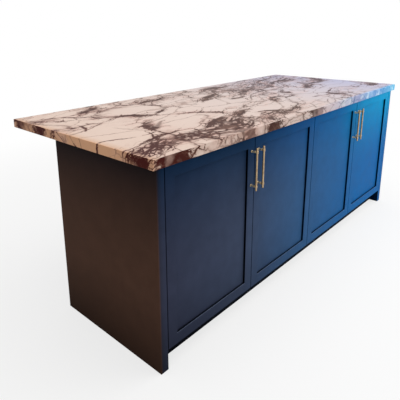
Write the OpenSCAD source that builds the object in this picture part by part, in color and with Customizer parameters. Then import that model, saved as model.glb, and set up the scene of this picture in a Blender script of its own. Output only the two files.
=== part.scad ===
// Kitchen island: a stone worktop on two double cabinets with framed doors,
// full-height end panels, a back panel and a seating overhang behind.
// X runs along the front to the right, Y runs from the front to the back, Z is up.
// The origin is on the floor, under the middle of the whole island.

/* [Worktop] */
// Length of the stone slab
worktop_l = 2400; // [1800:10:3000]
// Depth of the stone slab, seating overhang included
worktop_d = 1000; // [850:10:1200]
// Thickness of the stone slab
worktop_t = 40; // [20:1:60]
// How far the slab stands out past the door fronts
front_overhang = 15; // [5:1:30]
// How far the slab stands out past each end panel
end_overhang = 25; // [5:1:60]

/* [End and back panels] */
// Thickness of each end panel
end_panel_t = 40; // [18:1:60]
// Depth of the base, from the door fronts to the back panel's outer face
base_d = 650; // [620:5:760]
// Thickness of the back panel
back_panel_t = 18; // [12:1:25]
// Width of each upright batten behind the cabinets
batten_w = 60; // [40:1:90]
// Thickness of each batten, which sets the space behind the cabinets
batten_t = 47; // [20:1:70]

/* [Cabinets] */
// Height of each cabinet box
cabinet_h = 760; // [600:10:860]
// Thickness of the sides, bottoms, top rails and shelves
board_t = 18; // [15:1:22]
// Thickness of each cabinet's thin back board
back_board_t = 8; // [4:1:12]
// Distance from a cabinet's rear edge to its back board
back_board_inset = 20; // [10:1:40]
// Depth of the groove that holds the back board
back_groove = 8; // [4:1:10]
// Width of each top rail, from front to back
top_rail_w = 100; // [60:5:160]

/* [Shelves] */
// Height of the shelf's underside above the cabinet's bottom board
shelf_height = 352; // [260:32:416]
// Distance from the cabinet's front edge to the shelf's front edge
shelf_setback = 40; // [20:5:100]
// Gap between a shelf's end and the cabinet side
shelf_gap = 1; // [0.5:0.5:3]
// Diameter of a shelf pin
shelf_pin_d = 5; // [4:1:7]
// Length of a shelf pin's part in the side, and of its part under the shelf
shelf_pin_l = 9; // [7:1:12]
// Height step between two pin holes
pin_hole_step = 32; // [32:1:64]
// Distance from the shelf's front and rear edges to its pins
pin_inset = 50; // [30:5:120]

/* [Sub-top and overhang bars] */
// Thickness of the board deck under the slab, and of the steel bars in it
sub_top_t = 12; // [8:1:18]
// Width of each steel overhang bar
bar_w = 60; // [40:5:80]
// Distance from the slab's rear edge to the end of each bar
bar_back_gap = 80; // [40:5:160]
// Length of each bar that lies inside the base
bar_anchor = 420; // [300:10:560]
// Distance from an end panel to the nearest bar's middle
bar_end_inset = 235; // [100:5:400]

/* [Legs and plinth] */
// Height of the cabinets above the floor
leg_h = 88; // [70:1:150]
// Diameter of a leg's stem
leg_stem_d = 30; // [24:1:36]
// Diameter of a leg's foot
leg_foot_d = 60; // [45:1:80]
// Distance from a cabinet's front, rear and side faces to its legs' middles
leg_inset = 90; // [85:5:110]
// Distance from the door fronts back to the plinth's face
plinth_setback = 60; // [45:1:62]
// Thickness of the plinth board
plinth_t = 16; // [12:1:20]
// Gap between the plinth's upper edge and the cabinets
plinth_gap = 2; // [1:1:5]

/* [Doors] */
// Thickness of a door's frame
door_t = 22; // [20:1:26]
// Gap between two doors, and between a door and an end panel
door_gap = 4; // [3.8:0.1:6]
// Gap between the doors and the slab above
door_top_gap = 3; // [2:1:10]
// Height of the doors' lower edge above the cabinets' underside
door_bottom_lift = 2; // [0:1:10]
// Gap between a door's inner face and the cabinet's front edges
door_back_gap = 3; // [3:0.5:4]
// Width of a door's stiles and rails
frame_w = 50; // [50:1:90]
// Thickness of a door's flat centre panel
panel_t = 8; // [6:1:9]
// Depth of the recess, from the frame's face to the centre panel
recess = 11; // [9:0.5:12]
// Depth of the groove in the frame that holds the centre panel
groove = 9; // [6:1:9]

/* [Handles] */
// Diameter of a handle's bar
handle_d = 10; // [10:0.5:12.5]
// Length of a handle's bar
handle_l = 200; // [180:5:320]
// Distance between a handle's two posts
post_spacing = 160; // [96:32:160]
// Diameter of a handle's post
post_d = 8; // [6:1:8]
// Diameter of the ring round the bar at each post
ring_d = 13; // [13:0.5:18]
// Length of each ring along the bar
ring_l = 12; // [10:1:20]
// Distance from the door's face to the middle of the bar
handle_reach = 29; // [25:1:40]
// Distance from the door's upper edge to the bar's upper end
handle_drop = 45; // [20:1:120]
// Diameter of the collar at each end of a post
post_collar_d = 11; // [9:0.5:14]
// Length of the collar at each end of a post
post_collar_l = 2.5; // [1:0.5:4]

/* [Hinges] */
// Distance from a door's upper and lower edges to its hinges' middles
hinge_inset = 100; // [70:5:160]
// Diameter of a hinge's cup
cup_d = 35; // [35:1:35]
// Distance from the door's hinged edge to the cup's middle
cup_inset = 22.5; // [22.5:0.5:23]
// Depth of the cup's hole in the door
cup_depth = 13.3; // [13.3:0.1:13.6]
// Thickness of the cup's sheet wall, floor and flange
cup_wall = 0.8; // [0.5:0.1:0.8]
// Distance from the door's hinged edge to the pin in the cup
cup_pin_x = 12.2; // [12:0.1:12.5]
// Distance from the door's face to the pin in the cup
cup_pin_y = 15; // [14.8:0.1:15.2]
// Distance from the door's hinged edge to the pin in the arm
arm_pin_x = 33.6; // [33.4:0.1:33.8]
// Distance from the door's face to the pin in the arm
arm_pin_y = 36; // [35.8:0.1:36.2]
// Diameter of a hinge pin
hinge_pin_d = 3; // [2:0.1:3]
// Thickness of the bent link's metal
link_t = 2.4; // [1.6:0.1:2.4]
// Height of the bent link along its pins
link_w = 8; // [6:0.5:8]
// Rise of the link's bow, which clears the door's edge when it is open
link_bow = 9.5; // [9:0.1:10]
// Thickness of the two lugs that hold a pin
lug_t = 2.2; // [1.5:0.1:2.5]
// Height of the arm along its pins
arm_w = 16; // [14:0.5:20]
// Length of the arm behind its pin
arm_l = 56; // [50:1:70]
// Distance from the door's hinged edge to the face of the mounting plate
plate_face_x = 20; // [19:0.5:21]

/* [Fits] */
// Play around a pin that turns
pin_play = 0.05; // [0.03:0.01:0.1]
// Play of a piece that is pushed or slid into its seat
seat_play = 0.1; // [0.05:0.05:0.2]
// Side play of a link between its lugs
link_side_play = 0.4; // [0.2:0.1:0.6]

/* [Hidden] */
$fn = 48;
eps = 0.1;

// Heights
cabinet_top = leg_h + cabinet_h;
base_h = cabinet_top + sub_top_t;
door_z0 = leg_h + door_bottom_lift;
door_h = base_h - door_top_gap - door_z0;

// Depths. The island's box runs from the handles' front to the slab's rear edge.
handle_front = handle_reach + ring_d / 2;
box_front = max(handle_front, front_overhang);
front_y = box_front - (box_front - front_overhang + worktop_d) / 2;
worktop_y0 = front_y - front_overhang;
worktop_y1 = worktop_y0 + worktop_d;
cabinet_y0 = front_y + door_t + door_back_gap;
back_y = front_y + base_d;
back_panel_y0 = back_y - back_panel_t;
cabinet_y1 = back_panel_y0 - batten_t;
back_board_y0 = cabinet_y1 - back_board_inset - back_board_t;
inner_d = back_board_y0 - cabinet_y0;

// Widths
base_l = worktop_l - 2 * end_overhang;
inner_l = base_l - 2 * end_panel_t;
cabinet_w = inner_l / 2;
cabinet_inner_w = cabinet_w - 2 * board_t;
door_w = (inner_l - 5 * door_gap) / 4;

// Doors 1 and 3 hang on their left edge, doors 2 and 4 on their right edge
function door_x0(n) = -inner_l / 2 + door_gap + (n - 1) * (door_w + door_gap);
function hung_left(n) = n % 2 == 1;
function hung_x(n) = hung_left(n) ? door_x0(n) : door_x0(n) + door_w;
// Distance from a door's hinged edge to the inner face of the side behind it
function side_face(n) = board_t - (n == 1 || n == 4 ? door_gap : door_gap / 2);
hinge_z = [door_z0 + hinge_inset, door_z0 + door_h - hinge_inset];

// Hinge
link_l = norm([arm_pin_x - cup_pin_x, arm_pin_y - cup_pin_y]);
link_angle = atan2(arm_pin_y - cup_pin_y, arm_pin_x - cup_pin_x);
link_eye_r = 3;
lug_eye_r = 3.6;
lug_reach = 5;
lug_z = link_w / 2 + link_side_play;
pin_l = 2 * (lug_z + lug_t);
cup_r = cup_d / 2;
flange_rim = 2.5;
flange_r = cup_r + flange_rim;
flange_ear_r = 7;
flange_ear_z = 24;
cup_floor_y = door_t - cup_depth;
arm_top_x = arm_pin_x + lug_eye_r;
arm_y0 = arm_pin_y + lug_reach;
plate_w = 14;
plate_end_gap = 2;
plate_wing_l = 52;
plate_wing_t = 2;
// The link's middle line runs from the pin in the cup (at 0) to the pin in the arm,
// along a bow with a sloped leg and a shoulder at each end
cup_leg_run = 1;
cup_shoulder = [5, 3];
arm_leg_run = 2;
arm_shoulder = [9, 4];
link_path = [[0, 0], [cup_leg_run, -link_bow + cup_shoulder.y], [cup_shoulder.x, -link_bow],
    [link_l - arm_shoulder.x, -link_bow], [link_l - arm_leg_run, -link_bow + arm_shoulder.y],
    [link_l, 0]];

// Shelves and their pins
shelf_z = leg_h + board_t + shelf_height;
shelf_y0 = cabinet_y0 + shelf_setback;
shelf_d = inner_d - shelf_setback;
pin_ys = [shelf_y0 + pin_inset, shelf_y0 + shelf_d - pin_inset];
pin_collar_rim = 2;
pin_collar_d = shelf_pin_d + 2 * pin_collar_rim;
pin_collar_l = 1;
hole_rows = [-2, 0, 2];

// Legs
leg_xs = [leg_inset, cabinet_w / 2, cabinet_w - leg_inset];
leg_ys = [cabinet_y0 + leg_inset, cabinet_y1 - leg_inset];
socket_plate = 60;
socket_plate_t = 4;
socket_h = 24;
socket_wall = 4.5;
foot_t = 6;
foot_boss_wall = 4;
foot_boss_h = 24;
stem_z0 = 8;
plinth_y0 = front_y + plinth_setback;
clip_z0 = 34;
clip_h = 16;
clip_wall = 3;
clip_pad_w = 40;
clip_neck_w = 16;
clip_mouth_y = 8;

// Overhang bars
bar_y0 = back_y - bar_anchor;
bar_y1 = worktop_y1 - bar_back_gap;
bar_span = inner_l / 2 - bar_end_inset;
bar_xs = [for (i = [0:3]) -bar_span + i * 2 * bar_span / 3];

// Colours
stone = "#d9cdc8";
navy = "#1d3552";
navy_dark = "#14202f";
carcass = "#e9e7e2";
ply = "#c7a06c";
steel = "#9a9da1";
brass = "#c9a25a";
black = "#2b2b2d";

// A box between two corners
module box(low, high) {
    translate(low) cube(high - low);
}

// A cylinder along +X, +Y or +Z, from a point
module rod(at, axis, d, l) {
    turn = axis == "x" ? [0, 90, 0] : axis == "y" ? [-90, 0, 0] : [0, 0, 0];
    translate(at) rotate(turn) cylinder(d = d, h = l);
}

// Stone slab
module worktop() {
    color(stone)
        box([-worktop_l / 2, worktop_y0, base_h], [worktop_l / 2, worktop_y1, base_h + worktop_t]);
}

// Full-height panel at one end, its outer face at x
module end_panel(side) {
    x0 = side < 0 ? -base_l / 2 : base_l / 2 - end_panel_t;
    color(navy) box([x0, front_y, 0], [x0 + end_panel_t, back_y, base_h]);
}

// Back panel between the end panels, notched for the overhang bars
module back_panel() {
    color(navy) difference() {
        box([-inner_l / 2, back_panel_y0, 0], [inner_l / 2, back_y, base_h]);
        for (x = bar_xs)
            box([x - bar_w / 2 - seat_play, back_panel_y0 - eps, cabinet_top],
                [x + bar_w / 2 + seat_play, back_y + eps, base_h + eps]);
    }
}

// Upright battens that fill the space between the cabinets and the back panel
module back_battens() {
    color(ply)
        for (x = [-inner_l / 2, -batten_w / 2, inner_l / 2 - batten_w])
            box([x, cabinet_y1, leg_h], [x + batten_w, back_panel_y0, cabinet_top]);
}

// Board deck under the slab, slotted from its rear edge for the overhang bars
module sub_top() {
    color(ply) difference() {
        box([-inner_l / 2, cabinet_y0, cabinet_top], [inner_l / 2, back_panel_y0, base_h]);
        for (x = bar_xs)
            box([x - bar_w / 2 - seat_play, bar_y0 - seat_play, cabinet_top - eps],
                [x + bar_w / 2 + seat_play, back_panel_y0 + eps, base_h + eps]);
    }
}

// Flat steel bars that carry the seating overhang
module overhang_bars() {
    color(steel)
        for (x = bar_xs)
            box([x - bar_w / 2, bar_y0, cabinet_top], [x + bar_w / 2, bar_y1, base_h]);
}

// One cabinet side, with the groove for the back board and the shelf pin holes.
// Its inner face looks to +X when inward is 1, and to -X when inward is -1.
module cabinet_side(x0, inward) {
    face = inward > 0 ? x0 + board_t : x0;
    hole_x = inward > 0 ? face - shelf_pin_l : face - eps;
    groove_x = inward > 0 ? face - back_groove : face - eps;
    color(carcass) difference() {
        box([x0, cabinet_y0, leg_h], [x0 + board_t, cabinet_y1, cabinet_top]);
        box([groove_x, back_board_y0 - seat_play, leg_h - eps],
            [groove_x + back_groove + eps, back_board_y0 + back_board_t + seat_play,
                cabinet_top + eps]);
        for (y = pin_ys, row = hole_rows)
            rod([hole_x, y, shelf_z - shelf_pin_d / 2 + row * pin_hole_step], "x",
                shelf_pin_d + 2 * seat_play, shelf_pin_l + eps);
    }
}

// Middle of a cabinet, left or right
function cabinet_x(side) = side * cabinet_w / 2;

// Bottom board between a cabinet's sides
module cabinet_bottom(side) {
    x = cabinet_x(side);
    color(carcass)
        box([x - cabinet_inner_w / 2, cabinet_y0, leg_h],
            [x + cabinet_inner_w / 2, back_board_y0, leg_h + board_t]);
}

// Thin back board, its edges in the grooves of the sides
module back_board(side) {
    x = cabinet_x(side);
    half = cabinet_inner_w / 2 + back_groove - seat_play;
    color(carcass)
        box([x - half, back_board_y0, leg_h], [x + half, back_board_y0 + back_board_t, cabinet_top]);
}

// Front and rear rails that close a cabinet's top
module top_rails(side) {
    x = cabinet_x(side);
    color(carcass)
        for (y = [cabinet_y0, back_board_y0 - top_rail_w])
            box([x - cabinet_inner_w / 2, y, cabinet_top - board_t],
                [x + cabinet_inner_w / 2, y + top_rail_w, cabinet_top]);
}

// Loose shelf on four pins
module shelf(side) {
    x = cabinet_x(side);
    half = cabinet_inner_w / 2 - shelf_gap;
    color(carcass)
        box([x - half, shelf_y0, shelf_z], [x + half, shelf_y0 + shelf_d - shelf_gap, shelf_z + board_t]);
}

// Pins under the shelves, four for each shelf
module shelf_pins() {
    color(steel)
        for (side = [-1, 1], end = [-1, 1], y = pin_ys) {
            face = cabinet_x(side) + end * cabinet_inner_w / 2;
            collar_x = end > 0 ? face - pin_collar_l : face;
            z = shelf_z - shelf_pin_d / 2;
            rod([face - shelf_pin_l, y, z], "x", shelf_pin_d, 2 * shelf_pin_l);
            difference() {
                rod([collar_x, y, z], "x", pin_collar_d, pin_collar_l);
                box([collar_x - eps, y - pin_collar_d, shelf_z],
                    [collar_x + pin_collar_l + eps, y + pin_collar_d, shelf_z + pin_collar_d]);
            }
        }
}

// Plinth board behind the toe space
module plinth() {
    color(navy_dark)
        box([-inner_l / 2, plinth_y0, 0], [inner_l / 2, plinth_y0 + plinth_t, leg_h - plinth_gap]);
}

// Calls its children at each leg's place on the floor, or only at the front legs
module at_legs(ys) {
    for (side = [-1, 1], x = leg_xs, y = ys)
        translate([cabinet_x(side) - cabinet_w / 2 + x, y, 0]) children();
}

// Clips on the plinth's back that grip the front legs
module plinth_clips() {
    back = plinth_y0 + plinth_t - leg_ys[0];
    ring_r = leg_stem_d / 2 + clip_wall;
    color(black) at_legs([leg_ys[0]]) difference() {
        union() {
            box([-clip_pad_w / 2, back, clip_z0], [clip_pad_w / 2, back + clip_wall, clip_z0 + clip_h]);
            box([-clip_neck_w / 2, back, clip_z0], [clip_neck_w / 2, 0, clip_z0 + clip_h]);
            rod([0, 0, clip_z0], "z", 2 * ring_r, clip_h);
        }
        rod([0, 0, clip_z0 - eps], "z", leg_stem_d + 2 * seat_play, clip_h + 2 * eps);
        box([-ring_r, clip_mouth_y, clip_z0 - eps], [ring_r, ring_r + eps, clip_z0 + clip_h + eps]);
    }
}

// Leg sockets under the cabinets
module leg_sockets() {
    half = socket_plate / 2;
    color(black) at_legs(leg_ys) difference() {
        union() {
            box([-half, -half, leg_h - socket_plate_t], [half, half, leg_h]);
            rod([0, 0, leg_h - socket_h], "z", leg_stem_d + 2 * socket_wall, socket_h);
        }
        rod([0, 0, leg_h - socket_h - eps], "z", leg_stem_d + 2 * seat_play,
            socket_h - socket_plate_t + eps);
    }
}

// Leg stems, pushed up into the sockets
module leg_stems() {
    color(black) at_legs(leg_ys)
        rod([0, 0, stem_z0], "z", leg_stem_d, leg_h - socket_plate_t - stem_z0);
}

// Feet screwed onto the stems
module leg_feet() {
    color(black) at_legs(leg_ys) difference() {
        union() {
            rod([0, 0, 0], "z", leg_foot_d, foot_t);
            rod([0, 0, 0], "z", leg_stem_d + 2 * foot_boss_wall, foot_boss_h);
        }
        rod([0, 0, stem_z0], "z", leg_stem_d + 2 * seat_play, foot_boss_h);
    }
}

// Places its children in the frame of door n: x from the hinged edge into the door,
// y from the face backwards, z from the floor
module in_door(n) {
    translate([hung_x(n), front_y, 0]) mirror([hung_left(n) ? 0 : 1, 0, 0]) children();
}

// Calls its children at both hinges of door n, z from the hinge's middle
module at_hinges(n) {
    in_door(n) for (z = hinge_z) translate([0, 0, z]) children();
}

// Both stiles of door n, grooved for the panel; the hinged one is bored for the cups
module door_stiles(n) {
    color(navy) in_door(n) for (x = [0, door_w - frame_w]) {
        groove_x = x == 0 ? frame_w - groove : door_w - frame_w - eps;
        difference() {
            box([x, 0, door_z0], [x + frame_w, door_t, door_z0 + door_h]);
            box([groove_x, recess - seat_play, door_z0 - eps],
                [groove_x + groove + eps, recess + panel_t + seat_play, door_z0 + door_h + eps]);
            if (x == 0)
                for (z = hinge_z)
                    rod([cup_inset, cup_floor_y, z], "y", cup_d + 2 * seat_play, cup_depth + eps);
        }
    }
}

// Both rails of door n, grooved for the panel, with tongues that enter the stiles
module door_rails(n) {
    tongue = groove - seat_play;
    color(navy) in_door(n) for (z = [door_z0, door_z0 + door_h - frame_w]) {
        groove_z = z == door_z0 ? z + frame_w - groove : z - eps;
        difference() {
            union() {
                box([frame_w, 0, z], [door_w - frame_w, door_t, z + frame_w]);
                box([frame_w - tongue, recess, z],
                    [door_w - frame_w + tongue, recess + panel_t, z + frame_w]);
            }
            box([0, recess - seat_play, groove_z],
                [door_w, recess + panel_t + seat_play, groove_z + groove + eps]);
        }
    }
}

// Flat centre panel of door n, loose in the grooves
module door_panel(n) {
    edge = frame_w - groove + 2 * seat_play;
    color(navy) in_door(n)
        box([edge, recess, door_z0 + edge], [door_w - edge, recess + panel_t, door_z0 + door_h - edge]);
}

// Hinge cups let into door n: sheet cup, flange with two ears, and the pin's lugs
module door_hinge_cups(n) {
    color(steel) at_hinges(n) difference() {
        union() {
            difference() {
                union() {
                    rod([cup_inset, cup_floor_y, 0], "y", cup_d, cup_depth);
                    rod([cup_inset, door_t, 0], "y", 2 * flange_r, cup_wall);
                    for (z = [-flange_ear_z, flange_ear_z])
                        rod([cup_inset, door_t, z], "y", 2 * flange_ear_r, cup_wall);
                    box([cup_inset - flange_ear_r, door_t, -flange_ear_z],
                        [cup_inset + flange_ear_r, door_t + cup_wall, flange_ear_z]);
                }
                rod([cup_inset, cup_floor_y + cup_wall, 0], "y", cup_d - 2 * cup_wall,
                    cup_depth + cup_wall);
            }
            for (z = [-lug_z - lug_t, lug_z]) {
                rod([cup_pin_x, cup_pin_y, z], "z", 2 * lug_eye_r, lug_t);
                box([cup_pin_x - lug_eye_r, cup_floor_y + cup_wall / 2, z],
                    [cup_pin_x + lug_eye_r, cup_pin_y, z + lug_t]);
            }
        }
        rod([cup_pin_x, cup_pin_y, -cup_r], "z", hinge_pin_d + 2 * pin_play, cup_d);
    }
}

// Strip of the link's metal between two points of its middle line
module link_strip(a, b) {
    translate(a) rotate(atan2(b.y - a.y, b.x - a.x))
        translate([0, -link_t / 2]) square([norm(b - a), link_t]);
}

// Bowed links that carry door n, one at each hinge
module door_hinge_links(n) {
    color(steel) at_hinges(n)
        translate([cup_pin_x, cup_pin_y, -link_w / 2]) rotate(link_angle)
            linear_extrude(link_w) difference() {
                union() {
                    for (i = [0:len(link_path) - 2]) link_strip(link_path[i], link_path[i + 1]);
                    for (i = [1:len(link_path) - 2]) translate(link_path[i]) circle(d = link_t);
                    for (i = [0, len(link_path) - 1]) translate(link_path[i]) circle(r = link_eye_r);
                }
                for (i = [0, len(link_path) - 1])
                    translate(link_path[i]) circle(d = hinge_pin_d + pin_play);
            }
}

// Pins at both ends of the links of door n
module door_hinge_pins(n) {
    color(steel) at_hinges(n)
        for (p = [[cup_pin_x, cup_pin_y], [arm_pin_x, arm_pin_y]])
            rod([p.x, p.y, -pin_l / 2], "z", hinge_pin_d, pin_l);
}

// Hinge arms on the mounting plates, each with two lugs for the pin
module hinge_arms() {
    color(steel) for (n = [1:4]) at_hinges(n) difference() {
        union() {
            box([plate_face_x, arm_y0, -arm_w / 2], [arm_top_x, arm_y0 + arm_l, arm_w / 2]);
            for (z = [-lug_z - lug_t, lug_z]) {
                rod([arm_pin_x, arm_pin_y, z], "z", 2 * lug_eye_r, lug_t);
                box([arm_pin_x - lug_eye_r, arm_pin_y, z],
                    [arm_pin_x + lug_eye_r, arm_y0 + eps, z + lug_t]);
            }
        }
        rod([arm_pin_x, arm_pin_y, -arm_w], "z", hinge_pin_d + 2 * pin_play, 2 * arm_w);
    }
}

// Mounting plates between the arms and the cabinet sides
module hinge_plates() {
    mid_y = arm_y0 + arm_l / 2;
    color(steel) for (n = [1:4]) at_hinges(n) {
        box([side_face(n), arm_y0 + plate_end_gap, -plate_w / 2],
            [plate_face_x, arm_y0 + arm_l - plate_end_gap, plate_w / 2]);
        box([side_face(n), mid_y - plate_w / 2, -plate_wing_l / 2],
            [side_face(n) + plate_wing_t, mid_y + plate_w / 2, plate_wing_l / 2]);
    }
}

// Places its children in the frame of door n's handle: x = 0 on its middle line
module in_handle(n) {
    in_door(n) translate([door_w - frame_w / 2, 0, door_z0 + door_h - handle_drop - handle_l])
        children();
}

post_zs = [(handle_l - post_spacing) / 2, (handle_l + post_spacing) / 2];

// Round bar of door n's handle, with a ring and a blind hole for each post
module door_handle_bar(n) {
    color(brass) in_handle(n) difference() {
        union() {
            rod([0, -handle_reach, 0], "z", handle_d, handle_l);
            for (z = post_zs)
                rod([0, -handle_reach, z - ring_l / 2], "z", ring_d, ring_l);
        }
        for (z = post_zs)
            rod([0, -handle_reach, z], "y", post_d + 2 * pin_play, ring_d);
    }
}

// Posts of door n's handle, with a collar at the door and one at the bar
module door_handle_posts(n) {
    color(brass) in_handle(n) for (z = post_zs) {
        rod([0, -handle_reach, z], "y", post_d, handle_reach);
        rod([0, -post_collar_l, z], "y", post_collar_d, post_collar_l);
        rod([0, -handle_reach + ring_d / 2, z], "y", post_collar_d, post_collar_l);
    }
}

worktop();
end_panel(-1);  // end_panel_left
end_panel(1);  // end_panel_right
back_panel();
back_battens();
sub_top();
overhang_bars();
cabinet_side(-inner_l / 2, 1);  // cabinet_side_1
cabinet_side(-board_t, -1);  // cabinet_side_2
cabinet_side(0, 1);  // cabinet_side_3
cabinet_side(inner_l / 2 - board_t, -1);  // cabinet_side_4
cabinet_bottom(-1);  // cabinet_bottom_left
cabinet_bottom(1);  // cabinet_bottom_right
back_board(-1);  // back_board_left
back_board(1);  // back_board_right
top_rails(-1);  // top_rails_left
top_rails(1);  // top_rails_right
shelf(-1);  // shelf_left
shelf(1);  // shelf_right
shelf_pins();
plinth();
plinth_clips();
leg_sockets();
leg_stems();
leg_feet();
hinge_arms();
hinge_plates();
for (n = [1:4]) {
    door_stiles(n);
    door_rails(n);
    door_panel(n);
    door_hinge_cups(n);
    door_handle_bar(n);
    door_handle_posts(n);
    door_hinge_links(n);
    door_hinge_pins(n);
}
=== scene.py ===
"""Looks of a kitchen island: veined stone on navy cabinets with brass bar handles.

The frame gives every piece its body, its size and its place. Sizes in the classes are
in millimetres, and MM turns them into Blender's metres. X runs along the front to the
right, Y from the front to the back, and Z is up.
"""

import logging
import math
from collections.abc import Sequence
from dataclasses import dataclass, field
from enum import Enum

import bmesh
import bpy
from mathutils import Matrix, Vector


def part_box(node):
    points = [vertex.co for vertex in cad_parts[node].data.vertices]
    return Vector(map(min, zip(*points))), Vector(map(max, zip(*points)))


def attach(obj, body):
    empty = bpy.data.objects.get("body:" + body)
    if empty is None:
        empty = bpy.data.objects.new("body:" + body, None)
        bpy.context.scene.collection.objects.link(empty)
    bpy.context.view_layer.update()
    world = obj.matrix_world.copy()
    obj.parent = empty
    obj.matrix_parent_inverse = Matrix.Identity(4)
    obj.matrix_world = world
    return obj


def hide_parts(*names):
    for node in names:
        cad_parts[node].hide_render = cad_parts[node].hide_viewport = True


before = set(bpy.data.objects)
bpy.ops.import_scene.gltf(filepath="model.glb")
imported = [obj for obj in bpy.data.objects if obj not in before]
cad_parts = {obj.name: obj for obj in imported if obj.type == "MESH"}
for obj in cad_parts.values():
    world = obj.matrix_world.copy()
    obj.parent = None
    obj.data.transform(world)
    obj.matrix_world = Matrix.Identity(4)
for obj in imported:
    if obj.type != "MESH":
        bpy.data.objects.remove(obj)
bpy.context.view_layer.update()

LOG = logging.getLogger("kitchen_island")
MM = 0.001
TINY = 1e-6
ISLAND = "island"
DOORS = (1, 2, 3, 4)

# The face attribute that the lacquer reads, and its values: a painted highlight on rounded edges, painted
# shade in crevices
PAINTED_LIGHT_MARK = "arris"
PAINTED_HIGHLIGHT = 1.0
PAINTED_SHADE = -1.0

# The values between which most of a noise lies
SPREAD = (0.3, 0.7)

# Kinds of nodes that are used often
MATH = "ShaderNodeMath"
RANGE = "ShaderNodeMapRange"
VECTOR_MATH = "ShaderNodeVectorMath"
MAPPING = "ShaderNodeMapping"
SPLIT = "ShaderNodeSeparateXYZ"
JOIN = "ShaderNodeCombineXYZ"
NOISE = "ShaderNodeTexNoise"
CELLS = "ShaderNodeTexVoronoi"
RAMP = "ShaderNodeValToRGB"
BLEND = "ShaderNodeMix"
BUMP = "ShaderNodeBump"

Point = tuple[float, float, float]
Span = tuple[float, float]
Reading = tuple[float, float, float, float]
Profile = Sequence[Span]
Box = tuple[Vector, Vector]
Stops = tuple[tuple[float, str], ...]
Tree = bpy.types.NodeTree
Node = bpy.types.Node
Socket = bpy.types.NodeSocket
Mesh = bmesh.types.BMesh
Piece = bpy.types.Object


class Axis(Enum):
    """A direction along which a turned piece or a screw is laid."""

    RIGHT = (1.0, 0.0, 0.0)
    LEFT = (-1.0, 0.0, 0.0)
    BACK = (0.0, 1.0, 0.0)
    UP = (0.0, 0.0, 1.0)

    def turn(self) -> Matrix:
        """Returns the rotation that lays +Z along this direction."""
        return Vector(self.value).to_track_quat("Z", "Y").to_matrix().to_4x4()


# Nodes and materials


def linear(code: str) -> tuple[float, float, float, float]:
    """Turns an sRGB hex colour into linear red, green and blue, with alpha 1.

    Args:
        code: The colour, such as "#1d3552".

    Returns:
        Linear red, green, blue and alpha.
    """
    channels = [int(code[i:i + 2], 16) / 255 for i in (1, 3, 5)]
    red, green, blue = [c / 12.92 if c <= 0.04045 else ((c + 0.055) / 1.055) ** 2.4 for c in channels]
    return red, green, blue, 1.0


def add(tree: Tree, kind: str, inputs: dict | tuple = (), **settings: object) -> Node:
    """Adds a node with its settings and its links.

    Args:
        tree: The node tree that gets the node.
        kind: Blender's type name of the node.
        inputs: Its inputs, by name or number, or in order. Each is a value, a socket that feeds
            it, or a node whose first live output feeds it.
        settings: Its settings, by property name.

    Returns:
        The new node.
    """
    made = tree.nodes.new(kind)
    for name, value in settings.items():
        setattr(made, name, value)
    for key, value in (inputs if isinstance(inputs, dict) else dict(enumerate(inputs))).items():
        if isinstance(value, Node):
            value = next(socket for socket in value.outputs if socket.enabled)
        if isinstance(value, Socket):
            tree.links.new(value, made.inputs[key])
        else:
            made.inputs[key].default_value = value
    return made


def fill_ramp(ramp: Node, stops: Stops) -> None:
    """Gives a colour ramp its stops.

    Args:
        ramp: The Color Ramp node.
        stops: Places from 0 to 1 with their hex colours.
    """
    elements = ramp.color_ramp.elements
    while len(elements) < len(stops):
        elements.new(1.0)
    for element, (place, code) in zip(elements, stops):
        element.position = place
        element.color = linear(code)


@dataclass(frozen=True)
class Finish:
    """A finish: its material's name and the record's slot that it stands for."""

    name: str
    slot: str

    def material(self) -> bpy.types.Material:
        """Makes the finish's material, or finds it when it is made already.

        Returns:
            The material.
        """
        found = bpy.data.materials.get(self.name)
        if found:
            return found
        made = bpy.data.materials.new(self.name)
        made.use_nodes = True
        tree = made.node_tree
        tree.nodes.clear()
        place = add(tree, "ShaderNodeTexCoord").outputs["Object"]
        shader = add(tree, "ShaderNodeBsdfPrincipled", self.coat(tree, place))
        add(tree, "ShaderNodeOutputMaterial", {"Surface": shader})
        return made

    def coat(self, tree: Tree, place: Socket) -> dict:
        """Adds the finish's own nodes; each finish has its own.

        Args:
            tree: The material's tree.
            place: Coordinates on the piece, in metres.

        Returns:
            What feeds the shader, by the input's name.
        """
        raise NotImplementedError


@dataclass(frozen=True)
class Vein:
    """One vein, or one dense or clear patch, of the slab as seen from above.

    The place is its middle, length and width are half sizes, and angle is in degrees
    from the slab's long side.
    """

    x: float
    y: float
    length: float
    width: float
    angle: float
    strength: float = 1.0


@dataclass(frozen=True)
class CrackNet:
    """A net of thin veins between clasts.

    The half width of its veins is a share of a clast, and grows from the first to the second
    as the stone gets busier, between the two values of reach. Of that half width the core is
    all matrix, and smoke reaches further out by its own share.
    """

    clast: float
    widths: Span
    reach: Span
    core_share: float = 0.3
    smoke_share: float = 3.5


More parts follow.
